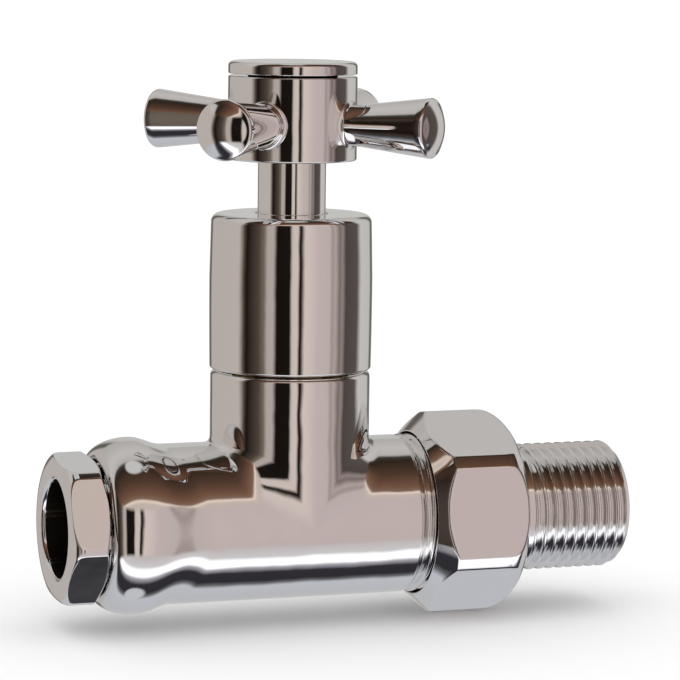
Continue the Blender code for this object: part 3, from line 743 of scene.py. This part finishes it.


# ---- the pieces, their bodies and finishes ------------------------------------------
# This picks the faces that get the near-black painted shade of the bores.
def inside(radius, start, stop):
    """Whether a face's centre lies in a bore of the run, between two stations."""

    def test(centre):
        s = (centre.x - SPINDLE_X) / MM
        r = math.hypot(centre.y, centre.z) / MM
        return r < radius and start < s < stop

    return test


finished(make_body(), "body", ["valve_body"], [CAST_CHROME, BORE_PAINTED_SHADE],
         inside(10.9, COLLAR_END + 0.4, SPIGOT_END - 0.4))
finished(make_compression_nut(), "pipe_nut", ["compression_nut"],
         [CHROME, BORE_PAINTED_SHADE], inside(9.2, COMPRESSION_FACE + 0.9, 0))
finished(make_olive(), "olive", ["olive"], [BRASS])
finished(make_union_nut(), "union", ["union_nut"], [CHROME, BORE_PAINTED_SHADE],
         inside(13.3, UNION_FACE + 0.4, UNION_END - 0.4))
finished(make_tail(), "tail", ["tailpiece"], [CHROME, BORE_PAINTED_SHADE],
         inside(8.0, FLANGE_FACE + 0.4, TAIL_END - 0.8))
finished(make_shroud(), "body", ["shroud"], [CHROME])
finished(make_hub(), "handle", ["handle_hub"], [CHROME])
for index in range(4):
    finished(make_spoke(index), "handle", [f"spoke_{index + 1}"], [CHROME])
finished(make_cap(), "cap", ["index_cap"], [CHROME])
finished(make_screw(), "handle", ["handle_screw"], [STEEL])

SLOT_MATERIALS = {
    "chrome_plate": CHROME,
    "bare_brass": BRASS,
    "black_rubber": RUBBER,
    "red_fibre": FIBRE,
    "white_ptfe": PTFE,
    "nylon": NYLON,
    "zinc_steel": STEEL,
}
for part in frame["record"]["subparts"]:
    node = frame["nodes"][part["node"]]
    if not node.hide_render:
        node.data.materials.clear()
        node.data.materials.append(SLOT_MATERIALS[part["material_slot"]])


# ---- floor, light and camera ----------------------------------------------------------
def make_floor():
    low = CAD_BOX[0].z
    mesh = bpy.data.meshes.new("floor")
    shape = bmesh.new()
    bmesh.ops.create_circle(shape, cap_ends=True, radius=6.0, segments=96)
    shape.to_mesh(mesh)
    shape.free()
    floor = bpy.data.objects.new("floor", mesh)
    floor.location = (SPINDLE_X, 0, low - 0.0002)
    material, _, shader = blank_material("pale_floor")
    shader.inputs["Base Color"].default_value = (0.93, 0.93, 0.93, 1)
    shader.inputs["Roughness"].default_value = 0.9
    shader.inputs["Specular IOR Level"].default_value = 0.0
    mesh.materials.append(material)
    floor.visible_glossy = False
    bpy.context.scene.collection.objects.link(floor)


CAMERA_AZIMUTH = -19.3    # degrees
CAMERA_ELEVATION = 7.09
CAMERA_ROLL = 0.68
CAMERA_DISTANCE = 0.5737  # metres
CAMERA_AIM_HEIGHT = 0.025
CAMERA_LENS = 188
# The room that the plating mirrors, as bands of (degrees, colour). Walls are counted
# to the right from the camera's direction. Sweeps go up from the horizon in front,
# over the top to the horizon behind, and down below the front likewise.
# The bands were read off the reflections in the reference photograph, on the sleeve
# and along the run, then rounded and adjusted. They aren't an invented room.
WALLS = [
    (-180, (0.58, 0.57, 0.56)), (-169, (0.53, 0.51, 0.49)), (-162, (0.13, 0.12, 0.11)),
    (-155, (0.13, 0.12, 0.11)), (-148, (0.50, 0.46, 0.44)), (-79, (0.54, 0.48, 0.44)),
    (-70, (0.08, 0.06, 0.045)), (-65, (0.01, 0.006, 0.004)), (-46, (0.08, 0.06, 0.05)),
    (-38, (0.18, 0.15, 0.12)), (-33, (0.48, 0.42, 0.37)), (-25, (0.49, 0.42, 0.40)),
    (-20, (0.01, 0.006, 0.005)), (-1, (0.01, 0.008, 0.006)), (2, (0.64, 0.55, 0.51)),
    (9.5, (0.70, 0.60, 0.55)), (12.5, (0.01, 0.006, 0.005)), (15, (0.015, 0.01, 0.008)),
    (20, (0.72, 0.62, 0.57)), (40, (0.59, 0.49, 0.48)), (57, (0.55, 0.48, 0.46)),
    (61, (0.38, 0.31, 0.29)), (66, (0.48, 0.40, 0.38)), (73, (0.21, 0.16, 0.15)),
    (78, (0.31, 0.25, 0.24)), (84, (0.08, 0.065, 0.06)), (108, (0.10, 0.085, 0.08)),
    (118, (0.61, 0.58, 0.56)), (146, (0.55, 0.55, 0.53)), (154, (0.15, 0.14, 0.13)),
    (163, (0.15, 0.14, 0.13)), (170, (0.56, 0.56, 0.54)),
]
SWEEPS = [
    (-180, (0.55, 0.54, 0.54)), (-130, (0.53, 0.54, 0.57)), (-101, (0.56, 0.58, 0.63)),
    (-94, (0.14, 0.14, 0.15)), (-88, (0.03, 0.03, 0.035)), (-72, (0.035, 0.03, 0.04)),
    (-64, (0.45, 0.44, 0.48)), (-60, (1.3, 1.3, 1.35)), (-50, (1.25, 1.25, 1.3)),
    (-45, (0.68, 0.66, 0.67)), (-30, (0.58, 0.53, 0.53)), (24, (0.57, 0.49, 0.46)),
    (36, (0.62, 0.52, 0.46)), (39, (0.90, 0.76, 0.65)), (42, (0.24, 0.15, 0.11)),
    (48, (0.19, 0.10, 0.06)), (55, (0.15, 0.075, 0.048)), (68, (0.085, 0.045, 0.03)),
    (90, (0.03, 0.02, 0.013)), (98, (0.05, 0.045, 0.04)), (103, (0.52, 0.50, 0.48)),
    (118, (0.58, 0.56, 0.55)), (150, (0.47, 0.45, 0.43)), (180, (0.55, 0.54, 0.54)),
]
OVERHEAD = (0.60, 0.59, 0.58)
UNDERNEATH = (0.58, 0.59, 0.62)


def bands(nodes, turn, stops):
    """The colour at an angle in radians, from bands given in degrees."""
    place = nodes.maths("ADD", nodes.maths("DIVIDE", turn, 2 * math.pi), 0.5)
    place = nodes.maths("FRACT", place)
    return nodes.ramp(place, [((a + 180) / 360, colour) for a, colour in stops])


def blended(nodes, factor, low, high):
    """One colour giving way to another."""
    high = (*high, 1) if isinstance(high, tuple) else high
    node = nodes.add(
        "Mix", {"Factor": factor, "A": low, "B": high}, data_type="RGBA"
    )
    return node.outputs["Result"]


def make_world():
    world = bpy.data.worlds.new("studio")
    bpy.context.scene.world = world
    world.use_nodes = True
    tree = world.node_tree
    nodes = Nodes(tree)
    here = nodes.add("TexCoord").outputs["Generated"]
    x, y, z = nodes.add("SeparateXYZ", {"Vector": here}).outputs
    front = nodes.maths("MULTIPLY", y, -1.0)
    around = nodes.maths("ARCTAN2", x, front)
    around = nodes.maths("SUBTRACT", around, math.radians(CAMERA_AZIMUTH))
    walls = bands(nodes, around, WALLS)
    sweeps = bands(nodes, nodes.maths("ARCTAN2", z, front), SWEEPS)
    steep = nodes.maths("ABSOLUTE", z)
    steep = nodes.add("MapRange", {0: steep, 1: 0.44, 2: 0.52}).outputs[0]
    room = blended(nodes, steep, walls, sweeps)
    top = nodes.add("MapRange", {0: z, 1: 0.972, 2: 0.985}).outputs[0]
    room = blended(nodes, top, room, OVERHEAD)
    under = nodes.add("MapRange", {0: z, 1: -0.972, 2: -0.985}).outputs[0]
    room = blended(nodes, under, room, UNDERNEATH)
    mirrored = nodes.add("Background", {"Color": room, "Strength": 1.0})
    plain = nodes.add("Background", {"Color": (1, 1, 1, 1), "Strength": 1.0})
    glossy = nodes.add("LightPath").outputs["Is Glossy Ray"]
    mixed = nodes.add(
        "MixShader", {0: glossy, 1: plain.outputs[0], 2: mirrored.outputs[0]}
    )
    tree.links.new(mixed.outputs[0], tree.nodes["World Output"].inputs["Surface"])


def make_light(name, aim, spread, strength):
    """A soft lamp shining along a direction, which the plating doesn't mirror."""
    lamp = bpy.data.lights.new(name, "SUN")
    lamp.angle = math.radians(spread)
    lamp.energy = strength
    lamp.specular_factor = 0.0
    holder = bpy.data.objects.new(name, lamp)
    holder.rotation_euler = Vector(aim).to_track_quat("-Z", "Y").to_euler()
    holder.visible_glossy = False
    bpy.context.scene.collection.objects.link(holder)


def make_camera():
    azimuth = math.radians(CAMERA_AZIMUTH)
    elevation = math.radians(CAMERA_ELEVATION)
    roll = math.radians(CAMERA_ROLL)
    back = Vector(
        (
            math.sin(azimuth) * math.cos(elevation),
            -math.cos(azimuth) * math.cos(elevation),
            math.sin(elevation),
        )
    )
    middle = (CAD_BOX[0] + CAD_BOX[1]) / 2
    stand = Vector((SPINDLE_X, 0, CAMERA_AIM_HEIGHT)) + back * CAMERA_DISTANCE
    camera = bpy.data.cameras.new("camera")
    camera.lens = CAMERA_LENS
    camera.sensor_width = 36
    camera.clip_start, camera.clip_end = 0.01, 50
    holder = bpy.data.objects.new("camera", camera)
    aim = (middle - stand).to_track_quat("-Z", "Y").to_matrix().to_4x4()
    holder.matrix_world = Matrix.Translation(stand) @ aim @ Matrix.Rotation(roll, 4, "Z")
    bpy.context.scene.collection.objects.link(holder)
    bpy.context.scene.camera = holder


make_floor()
make_world()
make_light("key", (0.2, 0.3, -1), 80, 0.45)
make_camera()
bpy.context.scene.view_settings.view_transform = "Standard"
